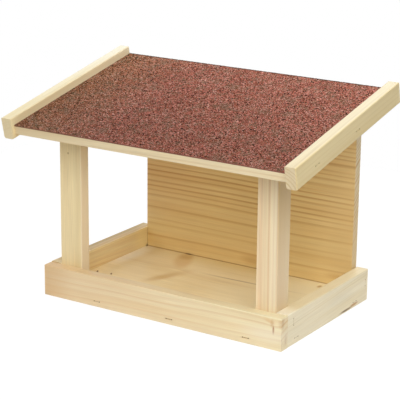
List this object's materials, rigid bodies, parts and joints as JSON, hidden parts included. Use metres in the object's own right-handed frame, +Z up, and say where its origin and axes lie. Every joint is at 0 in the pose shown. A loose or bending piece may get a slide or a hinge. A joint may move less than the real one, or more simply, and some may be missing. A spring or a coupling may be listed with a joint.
{
  "type": "bird feeder",
  "caption": "Open wooden bird feeder: railed feed tray, back wall, front posts and a single-pitch roof of board and mineral felt between raised side battens.",
  "frame": {"origin": "middle of the tray's underside, on the surface that the feeder stands on", "axes": "+X along the front to the right, +Y from the open front to the back wall, +Z up"},
  "size_m": [0.394, 0.241, 0.2716],
  "materials": {
    "planed_spruce": "planed, untreated",
    "mineral_felt": "red-brown mineral granules on bitumen",
    "staple_wire": "galvanised wire"
  },
  "bodies": {
    "root": {"floor_board": "planed_spruce", "front_rail": "planed_spruce", "left_rail": "planed_spruce", "right_rail": "planed_spruce", "back_wall": "planed_spruce", "left_post": "planed_spruce", "right_post": "planed_spruce", "roof_board": "planed_spruce", "left_batten": "planed_spruce", "right_batten": "planed_spruce", "roof_felt": "mineral_felt", "front_rail_staples": "staple_wire", "left_rail_staples": "staple_wire", "right_rail_staples": "staple_wire", "left_post_staple": "staple_wire", "right_post_staple": "staple_wire", "left_wall_staple": "staple_wire", "right_wall_staple": "staple_wire", "wall_foot_staples": "staple_wire", "roof_post_staples": "staple_wire", "roof_wall_staples": "staple_wire", "left_batten_staples": "staple_wire", "right_batten_staples": "staple_wire"}
  },
  "joints": []
}
